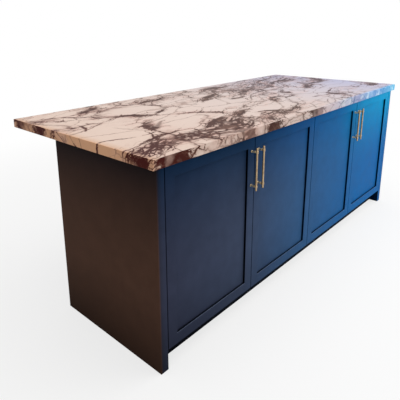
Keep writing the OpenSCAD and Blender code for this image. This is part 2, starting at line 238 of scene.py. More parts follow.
@dataclass(frozen=True)
class BrecciaMarble(Finish):
    """Honed breccia marble: cream clasts in a wine-brown matrix of veins.

    Sawn and honed to a silky sheen, so it is smooth and reflects softly. The veins are part of the
    stone, and run on over the slab's edges. Its colour carries painted light: a cast from warm at the
    left to cool at the right, and a painted blue light with glints on the front edge at the right.
    """

    name: str = "honed_breccia_marble"
    slot: str = "marble"
    length: float = 2400.0
    # The ground, matrix and halo ramps drift from warm at the left to cool at the right: a painted light
    # cast
    ground: Stops = ((0.0, "#cf9f7c"), (0.003, "#d0ad94"), (0.02, "#d7bfb0"), (0.5, "#c5b4ae"),
                     (0.8, "#b2abb6"), (1.0, "#a2a2bd"))
    glow: Stops = ((0.55, "#b9add0"), (0.66, "#93b9e2"), (0.73, "#3f74ba"), (0.8, "#4fa0d8"),
                   (0.86, "#2b80c4"), (1.0, "#46b4dc"))
    matrix: Stops = ((0.0, "#431511"), (0.1, "#40190f"), (0.45, "#42281f"), (0.8, "#432f35"))
    halo: Stops = ((0.1, "#9a7160"), (0.5, "#8f7566"), (0.9, "#867480"))
    blush: str = "#cba397"
    glint: str = "#d4f2fa"
    # Where the blue light of the low front edge sets in, and how much of it shows
    glow_y: Span = (-462.0, -489.0)
    glow_x: Span = (-50.0, 900.0)
    glow_share: float = 0.85
    # Each bend of the stone's flow: its size, how far it moves a point, and its octaves
    bends: tuple[Point, ...] = ((420.0, 60.0, 1.0), (95.0, 13.0, 4.0))
    tear: Point = (22.0, 4.0, 6.0)
    flow: float = 12.0
    stretch: float = 2.6
    # Sizes of the patterns
    mist_size: float = 30.0
    shred_size: float = 16.0
    fading_size: float = 110.0
    drift_size: float = 150.0
    clast_size: float = 40.0
    gleam_size: float = 45.0
    # How a pattern is read: two of its values, and what they become
    fading: Reading = (0.38, 0.6, 0.12, 1.0)
    drift: Reading = (*SPREAD, 0.05, 0.55)
    blushing: Reading = (0.1, 0.8, 0.0, 0.85)
    haze: Reading = (0.46, 0.68, 0.0, 0.55)
    depth: Reading = (0.28, 0.5, 0.5, 1.0)
    glinting: Reading = (0.5, 0.68, 0.0, 0.6)
    # How much the placed lines are torn, and where in them veins and smoke set in
    shred: float = 1.5
    vein_rim: Span = (1.08, 1.28)
    smoke_rim: Span = (0.85, 1.25)
    # What a line adds to the unrest round it, and a clear patch takes away
    line_unrest: float = 0.5
    calm: float = -0.9
    # How much unrest strengthens the veins, and how much smoke clouds a clast
    busy_strength: float = 0.6
    smoke_veil: float = 0.3
    sheen: Span = (0.36, 0.44)
    shine: float = 0.04
    nets: tuple[CrackNet, ...] = (
        CrackNet(190.0, (0.008, 0.05), (0.08, 1.0)),
        CrackNet(60.0, (0.0, 0.15), (0.18, 1.0)),
        CrackNet(21.0, (0.0, 0.25), (0.38, 1.0)),
    )
    dense: tuple[Vein, ...] = (
        Vein(-900, -400, 640, 95, 5), Vein(-640, -330, 330, 70, 12), Vein(-410, -245, 200, 52, 14),
        Vein(-250, -400, 330, 80, 6, 0.7), Vein(-835, -90, 150, 48, 60, 0.85),
        Vein(-780, 130, 180, 48, -32, 0.75), Vein(-850, 360, 150, 55, 50, 0.7),
        Vein(-480, 410, 340, 62, 8, 0.5), Vein(-1150, 330, 90, 120, 60, 0.6),
        Vein(170, 370, 200, 78, 3), Vein(-80, 215, 230, 48, 30, 0.75), Vein(210, 120, 330, 62, 27, 0.82),
        Vein(560, 190, 330, 60, 24, 0.7), Vein(720, -60, 150, 55, 20, 0.95),
        Vein(1010, 90, 330, 62, 28, 0.9), Vein(830, 400, 360, 60, 18, 0.7),
        Vein(1000, 260, 330, 60, 20, 0.62), Vein(1120, -310, 170, 62, 22, 0.8),
        Vein(110, -165, 110, 42, 8, 0.6), Vein(400, -107, 70, 42, 40, 0.6),
        Vein(520, -390, 130, 42, 70, 0.62), Vein(-500, -90, 200, 34, -40, 0.6),
        Vein(450, 230, 900, 280, 20, 0.42), Vein(-700, 330, 520, 200, -10, 0.2),
    )
    clear: tuple[Vein, ...] = (
        Vein(-260, 30, 380, 150, -8), Vein(-680, 240, 150, 105, 10, 0.9),
        Vein(-1080, -110, 230, 190, -20), Vein(-640, -130, 190, 80, 35, 0.9),
        Vein(-120, -260, 200, 60, 12, 0.7), Vein(1050, -110, 330, 110, 29),
        Vein(480, -250, 330, 85, 10, 0.7), Vein(-990, 420, 120, 90, 0, 0.8),
        Vein(-330, 265, 190, 60, 12, 0.7),
    )
    lines: tuple[Vein, ...] = (
        Vein(-960, -300, 290, 17, 13), Vein(-755, -292, 45, 13, 80), Vein(-585, -250, 190, 24, 18),
        Vein(-340, -240, 210, 36, 16), Vein(-508, -73, 190, 22, -39), Vein(-845, -95, 150, 34, 67),
        Vein(-790, -120, 120, 22, 42), Vein(-583, 130, 150, 20, 35), Vein(-755, 118, 150, 32, -28),
        Vein(-967, 277, 170, 18, -45), Vein(-835, 385, 100, 32, 50), Vein(-640, 372, 120, 20, -28),
        Vein(-440, 385, 220, 26, 13), Vein(-533, 262, 95, 15, -52), Vein(-360, 140, 120, 14, -20),
        Vein(-130, 185, 180, 24, 29), Vein(-20, 35, 110, 24, -17), Vein(220, 112, 210, 28, 33),
        Vein(92, 290, 130, 26, 24), Vein(200, 380, 150, 50, 0), Vein(700, -75, 140, 44, 20),
        Vein(1000, 70, 260, 24, 27), Vein(825, 35, 110, 28, 60), Vein(820, 245, 420, 24, 18),
        Vein(760, 385, 220, 26, 18), Vein(-183, -340, 130, 22, -25), Vein(117, -143, 115, 22, 7),
        Vein(392, -108, 50, 34, -40), Vein(517, -382, 100, 26, -56), Vein(383, -302, 75, 16, -15),
        Vein(625, -282, 170, 13, 16), Vein(1083, -340, 145, 42, 17), Vein(1170, -255, 60, 42, 15),
        Vein(842, -290, 110, 11, -40), Vein(-1117, -207, 110, 10, -20), Vein(-950, -227, 110, 10, 10),
        Vein(-1125, 93, 100, 13, 84), Vein(-958, -65, 140, 8, -51),
    )
    edge_veins: tuple[Vein, ...] = (
        Vein(-1095, -490, 150, 60, 0, 1.1), Vein(-617, -490, 50, 60, 0), Vein(-440, -490, 130, 60, 0, 0.75),
        Vein(0, -490, 118, 60, 0), Vein(-1200, 444, 58, 60, 90), Vein(-1200, 263, 108, 60, 90, 0.8),
        Vein(-1200, 149, 30, 60, 90, 0.5), Vein(-1200, -172, 10, 60, 90, 0.8),
        Vein(-1200, -358, 10, 60, 90, 0.9), Vein(-1200, -428, 72, 60, 90, 0.9),
    )
    # Where the edge veins set in, just inside the slab's front and left edges
    front_face: Span = (-487.0, -489.5)
    left_face: Span = (-1197.5, -1199.7)

    def coat(self, tree: Tree, place: Socket) -> dict:
        """Adds the stone's nodes: ground, halo and matrix, mixed by the veins.

        Args:
            tree: The material's tree.
            place: Coordinates on the piece, in metres.

        Returns:
            What feeds the shader, by the input's name.
        """
        ragged = place
        for bend in (*self.bends, self.tear):
            ragged = self.bent(tree, ragged, bend)
        laid = add(tree, MAPPING, {
            "Vector": ragged, "Rotation": (0.0, 0.0, math.radians(self.flow)),
            "Scale": (self.stretch, 1.0, 1.0)}, vector_type="TEXTURE").outputs["Vector"]
        line = add(tree, MATH, (self.patches(tree, ragged, self.lines), self.edge_lines(tree, place)),
                   operation="MAXIMUM")
        busy = self.busy(tree, place, ragged, line)
        grain = add(tree, NOISE, {"Vector": laid, "Scale": 1 / (self.shred_size * MM), "Detail": 6.0,
                                  "Roughness": 0.65})
        torn = add(tree, MATH, (grain, self.shred, line), operation="MULTIPLY_ADD")
        veins, smoke = [add(tree, RANGE, (torn, *rim), interpolation_type="SMOOTHSTEP")
                        for rim in (self.vein_rim, self.smoke_rim)]
        for net in self.nets:
            core, around = self.cracks(tree, laid, busy, net)
            veins = add(tree, MATH, (veins, core), operation="MAXIMUM")
            smoke = add(tree, MATH, (smoke, around), operation="MAXIMUM")
        fading = add(tree, NOISE, {"Vector": place, "Scale": 1 / (self.fading_size * MM), "Detail": 3.0})
        faint = add(tree, RANGE, (fading, *self.fading))
        strong = add(tree, MATH, (busy, self.busy_strength, faint), operation="MULTIPLY_ADD",
                     use_clamp=True)
        veins = add(tree, MATH, (veins, strong), operation="MULTIPLY")
        return {"Base Color": self.colour(tree, place, laid, veins, smoke, busy),
                "Roughness": add(tree, RANGE, (veins, 0.0, 1.0, *self.sheen)),
                "Specular IOR Level": self.shine}

    def bent(self, tree: Tree, place: Socket, bend: Point) -> Socket:
        """Bends coordinates by a noise.

        Args:
            tree: The material's tree.
            place: Coordinates in metres.
            bend: Size of one bend, how far a point may move, and the noise's octaves.

        Returns:
            The bent coordinates.
        """
        size, reach, octaves = bend
        noise = add(tree, NOISE, {"Vector": place, "Scale": 1 / (size * MM), "Detail": octaves})
        centred = add(tree, VECTOR_MATH, (noise.outputs["Color"], (0.5, 0.5, 0.5)), operation="SUBTRACT")
        push = (4 * reach * MM,) * 3
        return add(tree, VECTOR_MATH, (centred, push, place), operation="MULTIPLY_ADD").outputs["Vector"]

    def patches(self, tree: Tree, place: Socket, veins: tuple[Vein, ...]) -> Node:
        """Adds the field of some veins.

        Args:
            tree: The material's tree.
            place: Coordinates in metres.
            veins: The veins.

        Returns:
            1 on a vein's middle line, falling to 0 at its rim.
        """
        total = 0.0
        for vein in veins:
            local = add(tree, MAPPING, {
                "Vector": place, "Location": (vein.x * MM, vein.y * MM, 0.0),
                "Rotation": (0.0, 0.0, math.radians(vein.angle)),
                "Scale": (vein.length * MM, vein.width * MM, self.length)}, vector_type="TEXTURE")
            fall = add(tree, "ShaderNodeTexGradient", (local,), gradient_type="SPHERICAL").outputs["Fac"]
            level = add(tree, MATH, (fall, vein.strength), operation="MULTIPLY")
            total = add(tree, MATH, (level, total), operation="MAXIMUM")
        return total

    def edge_lines(self, tree: Tree, place: Socket) -> Node:
        """Adds the veins that show on the slab's front and left edges alone.

        Args:
            tree: The material's tree.
            place: Coordinates in metres.

        Returns:
            Their field, from 0 to 1.
        """
        split = add(tree, SPLIT, (place,)).outputs
        faces = [add(tree, RANGE, (split[axis], inner * MM, outer * MM))
                 for axis, (inner, outer) in (("Y", self.front_face), ("X", self.left_face))]
        on_edge = add(tree, MATH, tuple(faces), operation="MAXIMUM")
        veins = self.patches(tree, self.bent(tree, place, self.tear), self.edge_veins)
        return add(tree, MATH, (veins, on_edge), operation="MULTIPLY")

    def busy(self, tree: Tree, place: Socket, flow: Socket, line: Node) -> Node:
        """Adds the value that says how veined the stone is.

        Args:
            tree: The material's tree.
            place: Coordinates in metres.
            flow: Bent coordinates.
            line: The field of the placed veins.

        Returns:
            A value from 0, clear, to 1, all matrix.
        """
        drift = add(tree, NOISE, {"Vector": place, "Scale": 1 / (self.drift_size * MM), "Detail": 5.0,
                                  "Roughness": 0.6})
        even = add(tree, RANGE, (drift, *self.drift))
        strong = add(tree, MATH, (self.patches(tree, flow, self.dense), even), operation="ADD")
        near = add(tree, MATH, (line, self.line_unrest, strong), operation="MULTIPLY_ADD")
        return add(tree, MATH, (self.patches(tree, flow, self.clear), self.calm, near),
                   operation="MULTIPLY_ADD", use_clamp=True)

    def cracks(self, tree: Tree, flow: Socket, busy: Node, net: CrackNet) -> tuple[Node, Node]:
        """Adds a net of veins between clasts.

        Args:
            tree: The material's tree.
            flow: Bent coordinates.
            busy: How veined the stone is.
            net: The net's sizes.

        Returns:
            A mask that is 1 in the veins, and a softer, wider one round them.
        """
        cells = add(tree, CELLS, {"Vector": flow, "Scale": 1 / (net.clast * MM)},
                    feature="DISTANCE_TO_EDGE")
        width = add(tree, RANGE, (busy, *net.reach, *net.widths))
        core, wide = [add(tree, MATH, (width, share), operation="MULTIPLY")
                      for share in (net.core_share, net.smoke_share)]
        masks = [add(tree, RANGE, (cells, inner, outer, 1.0, 0.0), interpolation_type="SMOOTHSTEP")
                 for inner, outer in ((core, width), (width, wide))]
        return masks[0], masks[1]

    def colour(self, tree: Tree, place: Socket, flow: Socket, veins: Node, smoke: Node,
               busy: Node) -> Node:
        """Colours the stone, with a painted light cast from warm at the left to cool at the right,
        and a painted blue light on the low front edge at the right.

        Args:
            tree: The material's tree.
            place: Coordinates in metres.
            flow: Bent coordinates.
            veins: Where the matrix is.
            smoke: Where it clouds the clasts.
            busy: How veined the stone is.

        Returns:
            The stone's colour.
        """
        split = add(tree, SPLIT, (place,)).outputs
        half = self.length / 2 * MM
        share = add(tree, RANGE, (split["X"], -half, half))
        # These ramps along the length carry the painted light cast; the glow ramp is painted blue light
        ground, matrix, halo, glow = [add(tree, RAMP, (share,)) for _ in range(4)]
        for ramp, stops in ((ground, self.ground), (matrix, self.matrix), (halo, self.halo),
                            (glow, self.glow)):
            fill_ramp(ramp, stops)
        clasts = add(tree, CELLS, {"Vector": flow, "Scale": 1 / (self.clast_size * MM)}).outputs["Color"]
        tone = add(tree, SPLIT, (clasts,)).outputs["X"]
        warm = add(tree, MATH, (tone, busy), operation="MULTIPLY")
        blush = add(tree, RANGE, (warm, *self.blushing))
        clast = add(tree, BLEND, {0: blush, 6: ground, 7: linear(self.blush)}, data_type="RGBA")
        mist = add(tree, NOISE, {"Vector": flow, "Scale": 1 / (self.mist_size * MM), "Detail": 7.0,
                                 "Roughness": 0.65})
        haze = add(tree, RANGE, (mist, *self.haze))
        fog = add(tree, MATH, (haze, busy), operation="MULTIPLY")
        hazy = add(tree, MATH, (smoke, self.smoke_veil, fog), operation="MULTIPLY_ADD", use_clamp=True)
        clouded = add(tree, BLEND, {0: hazy, 6: clast, 7: halo}, data_type="RGBA")
        depth = add(tree, RANGE, (mist, *self.depth))
        body = add(tree, BLEND, {0: depth, 6: halo, 7: matrix}, data_type="RGBA")
        stone = add(tree, BLEND, {0: veins, 6: clouded, 7: body}, data_type="RGBA")
        # Painted light: a blue light with pale painted glints on the low front edge towards the right
        low_edge = add(tree, RANGE, (split["Y"], *[y * MM for y in self.glow_y], 0.0, self.glow_share))
        right = add(tree, RANGE, (split["X"], *[x * MM for x in self.glow_x]))
        lit = add(tree, MATH, (low_edge, right), operation="MULTIPLY")
        gleams = add(tree, NOISE, {"Vector": place, "Scale": 1 / (self.gleam_size * MM), "Detail": 3.0})
        bands = add(tree, RANGE, (gleams, *self.glinting))
        shone = add(tree, BLEND, {0: bands, 6: glow, 7: linear(self.glint)}, data_type="RGBA")
        return add(tree, BLEND, {0: lit, 6: stone, 7: shone}, data_type="RGBA")


@dataclass(frozen=True)
class SatinLacquer(Finish):
    """Satin lacquer sprayed on fibreboard: an even colour with a faint orange peel.

    The tone drifts as it does in the photograph, from a near-black navy at the left
    end to a clear blue at the right end, and is a little greyer lower down: painted light.
    It is darker at the foot, a painted shade. It gets a painted highlight, a lighter line, on
    rounded edges that face up, and painted shade in crevices.
    """

    name: str = "sprayed_satin_lacquer"
    slot: str = "navy_paint"
    length: float = 2350.0
    # The painted light's drift upwards starts at the turn, ends at the height, and grows by this power
    turn: float = 360.0
    height: float = 860.0
    lift: float = 2.0
    # Both ramps are painted light: from a near-black left end, warm brown low down as a painted floor
    # reflection, to a clear blue right end
    upper: Stops = ((0.0, "#1a1619"), (0.004, "#101a2a"), (0.01, "#0c233c"), (0.23, "#042745"),
                    (0.46, "#00457c"), (0.64, "#005c96"), (0.8, "#0088bb"), (0.995, "#009bcb"),
                    (1.0, "#1c4a6e"))
    lower: Stops = ((0.0, "#4b352b"), (0.004, "#2e303e"), (0.01, "#323648"), (0.23, "#3a445a"),
                    (0.46, "#32557d"), (0.8, "#1a5e99"), (0.995, "#165d9b"), (1.0, "#25456a"))
    # Painted shade: it is darker below the foot's height, by this tone at the left, up to a share of the
    # length
    foot: float = 330.0
    foot_shade_tone: Span = (0.45, 1.0)
    foot_share: float = 0.6
    # A painted highlight on rounded edges that face up: its tone and share
    edge: str = "#8b98b0"
    highlight_share: float = 0.35
    # Painted shade in crevices
    crevice_shade_tone: float = 0.25
    # The toe space ends at this distance from the middle, at this depth and at this height
    toe: Point = (1135.4, -400.0, 89.0)
    toe_tone: float = 0.1
    mottle_size: float = 60.0
    mottle: Span = (0.93, 1.07)
    sheen: Span = (0.38, 0.47)
    shine: float = 0.01
    peel_size: float = 3.0
    peel_depth: float = 0.05
    peel_strength: float = 0.12

    def coat(self, tree: Tree, place: Socket) -> dict:
        """Adds the lacquer's painted light and shade, its painted highlight, mottle and orange peel.

        Args:
            tree: The material's tree.
            place: Coordinates on the piece, in metres.

        Returns:
            What feeds the shader, by the input's name.
        """
        split = add(tree, SPLIT, (place,)).outputs
        half = self.length / 2 * MM
        share = add(tree, RANGE, (split["X"], -half, half))
        lower, upper = [add(tree, RAMP, (share,)) for _ in range(2)]
        fill_ramp(lower, self.lower)
        fill_ramp(upper, self.upper)
        # The painted light's drift upwards, from the lower tone to the upper one
        above = add(tree, RANGE, (split["Z"], self.turn * MM, self.height * MM))
        raised = add(tree, MATH, (above, self.lift), operation="POWER")
        tone = add(tree, BLEND, {0: raised, 6: lower, 7: upper}, data_type="RGBA")
        cloud = add(tree, NOISE, {"Vector": place, "Scale": 1 / (self.mottle_size * MM), "Detail": 4.0})
        value = add(tree, RANGE, (cloud, *SPREAD, *self.mottle))
        # Painted shade below the foot's height
        low_shade = add(tree, RANGE, (share, 0.0, self.foot_share, *self.foot_shade_tone))
        foot = add(tree, RANGE, (split["Z"], 0.0, self.foot * MM, low_shade, 1.0))
        light_mark = add(tree, "ShaderNodeAttribute", attribute_name=PAINTED_LIGHT_MARK).outputs["Fac"]
        # Painted shade in crevices
        crevice = add(tree, RANGE, (light_mark, PAINTED_SHADE, 0.0, self.crevice_shade_tone, 1.0))
        for dim in (foot, crevice, self.toe_shade(tree, split)):
            value = add(tree, MATH, (value, dim), operation="MULTIPLY")
        painted = add(tree, "ShaderNodeHueSaturation", {"Value": value, "Color": tone})
        # Painted highlight on rounded edges that face up
        highlight = add(tree, MATH, (light_mark, self.highlight_share), operation="MULTIPLY")
        peel = add(tree, NOISE, {"Vector": place, "Scale": 1 / (self.peel_size * MM), "Detail": 1.0})
        return {"Base Color": add(tree, BLEND, {0: highlight, 6: painted, 7: linear(self.edge)},
                                  data_type="RGBA"),
                "Roughness": add(tree, RANGE, (cloud, *SPREAD, *self.sheen)),
                "Specular IOR Level": self.shine,
                "Normal": add(tree, BUMP, {"Strength": self.peel_strength,
                                           "Distance": self.peel_depth * MM, "Height": peel})}

    def toe_shade(self, tree: Tree, split: bpy.types.NodeOutputs) -> Node:
        """Adds the shade of the faces round the toe space.

        Args:
            tree: The material's tree.
            split: The coordinates' three parts, in metres.

        Returns:
            1 beyond the toe space's limits, and the toe space's tone inside them.
        """
        across = add(tree, MATH, (split["X"],), operation="ABSOLUTE")
        free = 0.0
        for value, limit in zip((across, split["Y"], split["Z"]), self.toe):
            beyond = add(tree, MATH, (value, limit * MM), operation="GREATER_THAN")
            free = add(tree, MATH, (beyond, free), operation="MAXIMUM")
        return add(tree, RANGE, (free, 0.0, 1.0, self.toe_tone, 1.0))


@dataclass(frozen=True)
class SatinBrass(Finish):
    """Solid brass, turned and brushed along the bar: warm gold with soft long streaks."""

    name: str = "brushed_satin_brass"
    slot: str = "brass"
    bright: str = "#c4ac8a"
    deep: str = "#8d6c48"
    sheen: Span = (0.14, 0.26)
    # Width and length of a brushed streak, drawn coarser than real so that it shows
    streak: Span = (0.8, 45.0)
    streak_depth: float = 0.04
    streak_strength: float = 0.12
    tarnish_size: float = 14.0
    tarnish: Reading = (0.35, 0.7, 0.0, 0.6)

    def coat(self, tree: Tree, place: Socket) -> dict:
        """Adds the brushing and a light tarnish.

        Args:
            tree: The material's tree.
            place: Coordinates on the piece, in metres.

        Returns:
            What feeds the shader, by the input's name.
        """
        across, along = [1 / (size * MM) for size in self.streak]
        stretched = add(tree, MAPPING, {"Vector": place, "Scale": (across, across, along)})
        brushed = add(tree, NOISE, {"Vector": stretched, "Scale": 1.0, "Detail": 3.0})
        tarnish = add(tree, NOISE, {"Vector": place, "Scale": 1 / (self.tarnish_size * MM), "Detail": 3.0})
        share = add(tree, RANGE, (tarnish, *self.tarnish))
        return {"Base Color": add(tree, BLEND, {0: share, 6: linear(self.bright), 7: linear(self.deep)},
                                  data_type="RGBA"),
                "Roughness": add(tree, RANGE, (brushed, *SPREAD, *self.sheen)),
                "Metallic": 1.0,
                "Normal": add(tree, BUMP, {"Strength": self.streak_strength,
                                           "Distance": self.streak_depth * MM, "Height": brushed})}


@dataclass(frozen=True)
class NickelPlate(Finish):
    """Nickel on pressed steel: a cool grey metal with a fine cloudiness from the press."""

    name: str = "nickel_plated_steel"
    slot: str = "nickelled_steel"
    bright: str = "#b9b8b3"
    dull: str = "#9a9995"
    cloud_size: float = 5.0
    sheen: Span = (0.18, 0.36)

    def coat(self, tree: Tree, place: Socket) -> dict:
        """Adds the plating's cloudiness.

        Args:
            tree: The material's tree.
            place: Coordinates on the piece, in metres.

        Returns:
            What feeds the shader, by the input's name.
        """
        cloud = add(tree, NOISE, {"Vector": place, "Scale": 1 / (self.cloud_size * MM), "Detail": 3.0})
        return {"Base Color": add(tree, BLEND, {0: cloud, 6: linear(self.bright), 7: linear(self.dull)},
                                  data_type="RGBA"),
                "Roughness": add(tree, RANGE, (cloud, 0.0, 1.0, *self.sheen)),
                "Metallic": 1.0}


@dataclass(frozen=True)
class GrainedFinish(Finish):
    """A dull finish of nearly one colour: faintly clouded, with a fine grain in its surface."""

    light: str
    dark: str
    sheen: float
    cloud_size: float
    cloud_octaves: float
    grain_kind: str
    grain_size: float
    grain_octaves: float
    grain_strength: float
    grain_depth: float

    def coat(self, tree: Tree, place: Socket) -> dict:
        """Adds the clouding and the grain.

        Args:
            tree: The material's tree.
            place: Coordinates on the piece, in metres.

        Returns:
            What feeds the shader, by the input's name.
        """
        cloud = add(tree, NOISE, {"Vector": place, "Scale": 1 / (self.cloud_size * MM),
                                  "Detail": self.cloud_octaves})
        grain = add(tree, self.grain_kind, {"Vector": place, "Scale": 1 / (self.grain_size * MM),
                                            "Detail": self.grain_octaves})
        return {"Base Color": add(tree, BLEND, {0: cloud, 6: linear(self.light), 7: linear(self.dark)},
                                  data_type="RGBA"),
                "Roughness": self.sheen,
                "Normal": add(tree, BUMP, {"Strength": self.grain_strength,
                                           "Distance": self.grain_depth * MM, "Height": grain})}


@dataclass(frozen=True)
class BirchPly(Finish):
    """Bare birch plywood: pale faces with long grain, and thin plies at its edges."""

    name: str = "bare_birch_plywood"
    slot: str = "plywood"
    light: str = "#d9bd92"
    dark: str = "#a9835a"
    # Plies are light and dark in turn: where in a ply the change lies, and how much it shows
    ply: float = 1.5
    layer: Reading = (0.3, 0.7, 0.0, 0.7)
    layer_share: float = 0.45
    # Length and width of the fibres, and their relief
    fibre: Span = (260.0, 7.0)
    fibre_depth: float = 0.1
    fibre_strength: float = 0.2
    tone: Span = (0.35, 0.95)
    sheen: float = 0.62

    def coat(self, tree: Tree, place: Socket) -> dict:
        """Adds the plies, which lie flat, and the grain of the face.

        Args:
            tree: The material's tree.
            place: Coordinates on the piece, in metres.

        Returns:
            What feeds the shader, by the input's name.
        """
        height = add(tree, SPLIT, (place,)).outputs["Z"]
        ply = self.ply * MM
        plies = add(tree, MATH, (height, ply), operation="PINGPONG")
        layer = add(tree, RANGE, (plies, self.layer[0] * ply, self.layer[1] * ply, *self.layer[2:]))
        along, across = [1 / (size * MM) for size in self.fibre]
        drawn = add(tree, MAPPING, {"Vector": place, "Scale": (along, across, across)})
        grain = add(tree, NOISE, {"Vector": drawn, "Scale": 1.0, "Detail": 5.0})
        mixed = add(tree, MATH, (layer, self.layer_share, grain), operation="MULTIPLY_ADD", use_clamp=True)
        share = add(tree, RANGE, (mixed, *self.tone))
        return {"Base Color": add(tree, BLEND, {0: share, 6: linear(self.light), 7: linear(self.dark)},
                                  data_type="RGBA"),
                "Roughness": self.sheen,
                "Normal": add(tree, BUMP, {"Strength": self.fibre_strength,
                                           "Distance": self.fibre_depth * MM, "Height": grain})}


@dataclass(frozen=True)
class PlanedSoftwood(Finish):
    """Planed pine: a yellowish wood with darker late-wood lines along its length."""

    name: str = "planed_pine"
    slot: str = "softwood"
    early: str = "#e0c290"
    late: str = "#bd8f55"
    ring_size: float = 26.0
    waviness: float = 5.0
    # The rings are drawn out along the piece: their share of its height
    upright: float = 0.04
    sheen: float = 0.6

    def coat(self, tree: Tree, place: Socket) -> dict:
        """Adds the year rings of an upright piece, seen on its faces as long lines.

        Args:
            tree: The material's tree.
            place: Coordinates on the piece, in metres.

        Returns:
            What feeds the shader, by the input's name.
        """
        upright = add(tree, MAPPING, {"Vector": place, "Scale": (1.0, 1.0, self.upright)})
        rings = add(tree, "ShaderNodeTexWave", {
            "Vector": upright, "Scale": 1 / (self.ring_size * MM), "Distortion": self.waviness,
            "Detail": 3.0}, wave_type="RINGS", rings_direction="Z").outputs["Fac"]
        return {"Base Color": add(tree, BLEND, {0: rings, 6: linear(self.early), 7: linear(self.late)},
                                  data_type="RGBA"),
                "Roughness": self.sheen}


MARBLE = BrecciaMarble()
NAVY = SatinLacquer()
# The same lacquer on the plinth, in the toe space's shade
PLINTH_PAINT = SatinLacquer(
    name="shadowed_satin_lacquer", slot="dark_plinth", toe_tone=0.6,
    upper=((0.0, "#12151d"), (1.0, "#142438")), lower=((0.0, "#171a22"), (1.0, "#1a2a3e")))
BRASS = SatinBrass()
# The handle posts get a duller brass, and a paler one: the pale colour is a painted highlight
PALE_BRASS = SatinBrass(name="dull_brass_with_painted_highlight", bright="#e6d6b4", deep="#c9ad7f", sheen=(0.45, 0.6))
NICKEL = NickelPlate()
# Melamine-faced chipboard: off-white paper of slightly uneven tone, pressed with a pearl texture
WHITE_BOARD = GrainedFinish(
    name="white_melamine_board", slot="white_board", light="#e8e6e0", dark="#dedbd3", sheen=0.48,
    cloud_size=120.0, cloud_octaves=3.0, grain_kind=CELLS, grain_size=1.6, grain_octaves=0.0,
    grain_strength=0.15, grain_depth=0.04)
PLYWOOD = BirchPly()
PINE = PlanedSoftwood()
# Black powder coat baked on steel: matt, and pebbled by the powder. The pebbles are drawn
# coarser than real so that they show
BLACK_STEEL = GrainedFinish(
    name="black_powder_coat", slot="black_steel", light="#222225", dark="#303033", sheen=0.5,
    cloud_size=1.2, cloud_octaves=2.0, grain_kind=NOISE, grain_size=1.2, grain_octaves=2.0,
    grain_strength=0.3, grain_depth=0.08)
# Injection-moulded black polypropylene: a dull even grain from the mould, rubbed in places
BLACK_PLASTIC = GrainedFinish(
    name="moulded_black_polypropylene", slot="black_plastic", light="#1d1d1f", dark="#2a2a2c",
    sheen=0.55, cloud_size=18.0, cloud_octaves=3.0, grain_kind=NOISE, grain_size=0.8,
    grain_octaves=1.0, grain_strength=0.25, grain_depth=0.05)


# Meshes


def node_box(node: str) -> Box:
    """Returns a CAD node's lowest and highest corners, in millimetres."""
    low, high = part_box(node)
    return low / MM, high / MM


def finish_mesh(name: str, shape: Mesh, smooth_below: float = 32.0) -> Piece:
    """Makes an object from a mesh in millimetres.

    Args:
        name: The piece's name.
        shape: The mesh, which is freed.
        smooth_below: Edges that turn less than this many degrees are shaded smooth.

    Returns:
        The object, at the origin and in metres.
    """
    bmesh.ops.recalc_face_normals(shape, faces=shape.faces)
    light_marks = shape.faces.layers.float.get(PAINTED_LIGHT_MARK)
    if light_marks:
        # A painted highlight mark stays on faces that face up, a painted shade mark on faces that face up
        # or left
        for face in shape.faces:
            left = -face.normal.x if face[light_marks] < 0.0 else 0.0
            face[light_marks] *= max(face.normal.z, left, 0.0)
    bmesh.ops.scale(shape, vec=(MM, MM, MM), verts=shape.verts)
    mesh = bpy.data.meshes.new(name)
    shape.to_mesh(mesh)
    shape.free()
    mesh.shade_smooth()
    mesh.set_sharp_from_angle(angle=math.radians(smooth_below))
    piece = bpy.data.objects.new(name, mesh)
    bpy.context.scene.collection.objects.link(piece)
    piece.modifiers.new("flat_faces", "WEIGHTED_NORMAL").keep_sharp = True
    bake_modifiers(piece)
    return piece


def bake_modifiers(piece: Piece) -> None:
    """Replaces a piece's mesh by its evaluated one and takes its modifiers off.

    Args:
        piece: The object.
    """
    graph = bpy.context.evaluated_depsgraph_get()
    mesh = bpy.data.meshes.new_from_object(piece.evaluated_get(graph), depsgraph=graph)
    piece.modifiers.clear()
    spare = piece.data
    piece.data = mesh
    bpy.data.meshes.remove(spare)
    mesh.name = piece.name


def round_edges(shape: Mesh, edges: list[bmesh.types.BMEdge], radius: float) -> None:
    """Rounds edges and marks them: the lacquer paints a highlight, a lighter line, on those that face up.

    Args:
        shape: The mesh.
        edges: Its edges that are rounded.
        radius: Their radius.
    """
    made = bmesh.ops.bevel(shape, geom=edges, offset=radius, offset_type="OFFSET", segments=2,
                           profile=0.5, affect="EDGES")
    shape.faces.index_update()
    numbers = [face.index for face in made["faces"]]
    layer = shape.faces.layers.float.get(PAINTED_LIGHT_MARK) or shape.faces.layers.float.new(PAINTED_LIGHT_MARK)
    shape.faces.ensure_lookup_table()
    for number in numbers:
        shape.faces[number][layer] = PAINTED_HIGHLIGHT


def add_board(shape: Mesh, low: Point, high: Point, arris: float) -> None:
    """Adds a board with rounded edges.

    Args:
        shape: The mesh that gets the board.
        low: The board's lowest corner.
        high: Its highest corner.
        arris: Radius of its edges.
    """
    low, high = Vector(low), Vector(high)
    made = bmesh.ops.create_cube(shape, size=1.0, matrix=Matrix.Translation((low + high) / 2)
                                 @ Matrix.Diagonal((*(high - low), 1.0)))
    edges = {edge for vertex in made["verts"] for edge in vertex.link_edges}
    round_edges(shape, list(edges), arris)


